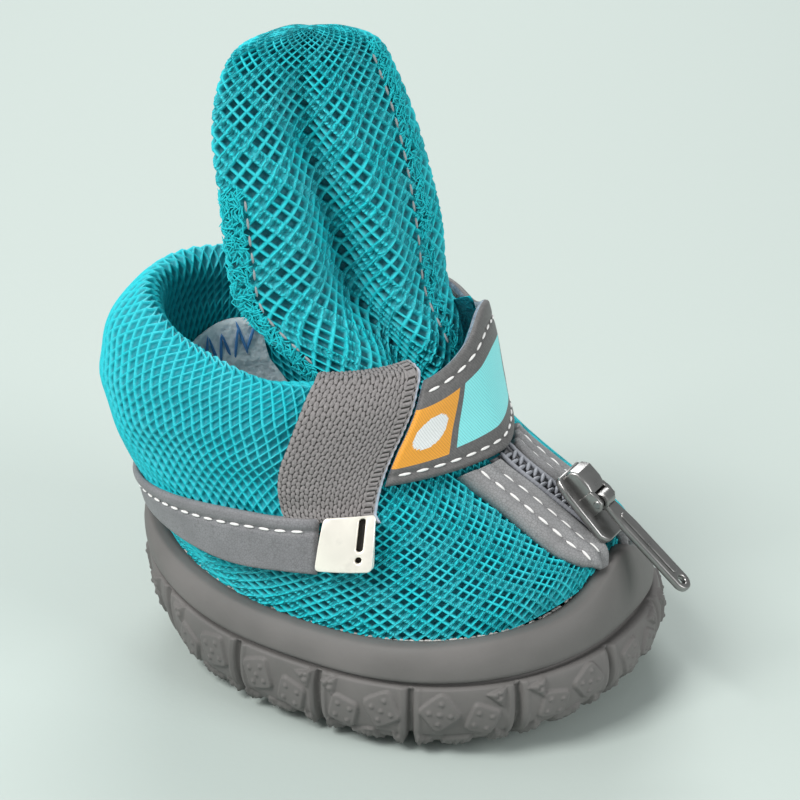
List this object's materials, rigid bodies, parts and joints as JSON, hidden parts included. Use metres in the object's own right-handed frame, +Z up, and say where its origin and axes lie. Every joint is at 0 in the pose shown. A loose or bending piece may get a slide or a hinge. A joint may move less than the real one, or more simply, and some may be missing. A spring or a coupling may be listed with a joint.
{
  "type": "dog boot",
  "caption": "Padded mesh dog boot with a moulded rubber cup sole, front zip with pull tab, tall loose tongue, padded collar and ankle strap.",
  "frame": {"origin": "on the ground under the middle of the sole, at the foot of the middle tread lug", "axes": "+X to the toe, +Y to the boot's left, +Z up"},
  "size_m": [0.0961, 0.0624, 0.0946],
  "materials": {
    "rubber": "moulded matt rubber",
    "teal_mesh": "warp-knit spacer mesh",
    "felt": "needled felt",
    "leatherette": "fine-grained leatherette",
    "webbing": "flat woven webbing",
    "reflective": "grey reflective cloth",
    "coil": "nylon zip coil on tape",
    "gunmetal": "gunmetal die casting",
    "nickel": "warm nickel plate"
  },
  "bodies": {
    "boot": {"sole": "rubber", "insole": "felt", "upper": "teal_mesh", "collar": "teal_mesh", "tongue": "teal_mesh", "facing_near": "leatherette", "facing_far": "leatherette", "zip_near": "coil", "zip_far": "coil", "slider": "gunmetal", "side_strip": "leatherette", "strip_tip": "nickel", "webbing": "webbing", "strap": "reflective"},
    "tab": {"pull_tab": "gunmetal"}
  },
  "joints": [
    {"name": "tab_hinge", "type": "hinge", "parent": "boot", "child": "tab", "pos_m": [0.03536, -0.0003, 0.03212], "axis": [0, -1, 0], "range_deg": [0, 115]}
  ]
}
